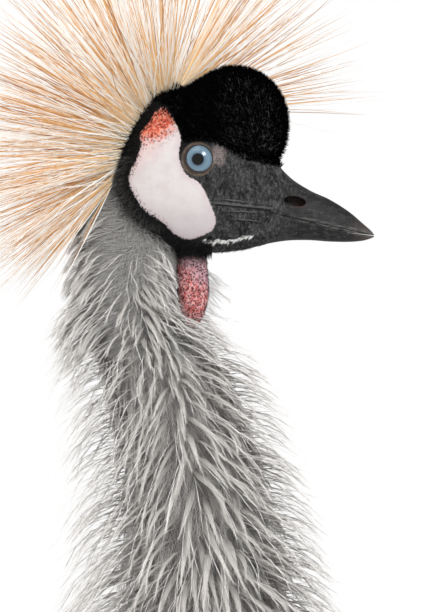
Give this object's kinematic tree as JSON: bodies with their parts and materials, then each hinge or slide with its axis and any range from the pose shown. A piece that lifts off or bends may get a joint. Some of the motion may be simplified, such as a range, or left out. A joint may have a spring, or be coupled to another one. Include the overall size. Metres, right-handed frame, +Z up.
{
  "type": "grey crowned crane model",
  "caption": "Life-size still crane, standing alert in profile, with a fan of golden bristles, velvet forehead, white cheek, red throat wattle and shaggy grey neck.",
  "frame": {"origin": "on the floor, under the middle of the bounding box", "axes": "+Z up, +X the way the bill points, +Y to the bird's left"},
  "size_m": [0.5331, 0.2225, 1.0873],
  "materials": {
    "velvet": "dense black velvet of short feathers",
    "bill": "charcoal horn, dull sheen",
    "face": "short dark face feathers",
    "cheek": "bare white skin, red at the top",
    "iris": "wet pale blue eye",
    "wattle": "bare red skin with dark dots",
    "bristle": "straw-gold bristles",
    "neck": "pale grey hackles",
    "slate": "slate-grey body feathers",
    "wing": "white coverts, gold, chestnut and black flight feathers",
    "tail": "black tail feathers",
    "leg": "black scaled skin",
    "claw": "black horn"
  },
  "bodies": {
    "root": {"cheek_left": "cheek", "cheek_right": "cheek", "claw_hind_left": "claw", "claw_hind_right": "claw", "claw_inner_left": "claw", "claw_inner_right": "claw", "claw_middle_left": "claw", "claw_middle_right": "claw", "claw_outer_left": "claw", "claw_outer_right": "claw", "crest": "bristle", "eye_left": "iris", "eye_right": "iris", "forehead_velvet": "velvet", "head": "face", "lower_bill": "bill", "neck": "neck", "shank_left": "leg", "shank_right": "leg", "tail": "tail", "tarsus_left": "leg", "tarsus_right": "leg", "thigh_left": "slate", "thigh_right": "slate", "throat_wattle": "wattle", "toe_hind_left": "leg", "toe_hind_right": "leg", "toe_inner_left": "leg", "toe_inner_right": "leg", "toe_middle_left": "leg", "toe_middle_right": "leg", "toe_outer_left": "leg", "toe_outer_right": "leg", "torso": "slate", "upper_bill": "bill", "wing_left": "wing", "wing_right": "wing"}
  },
  "joints": []
}
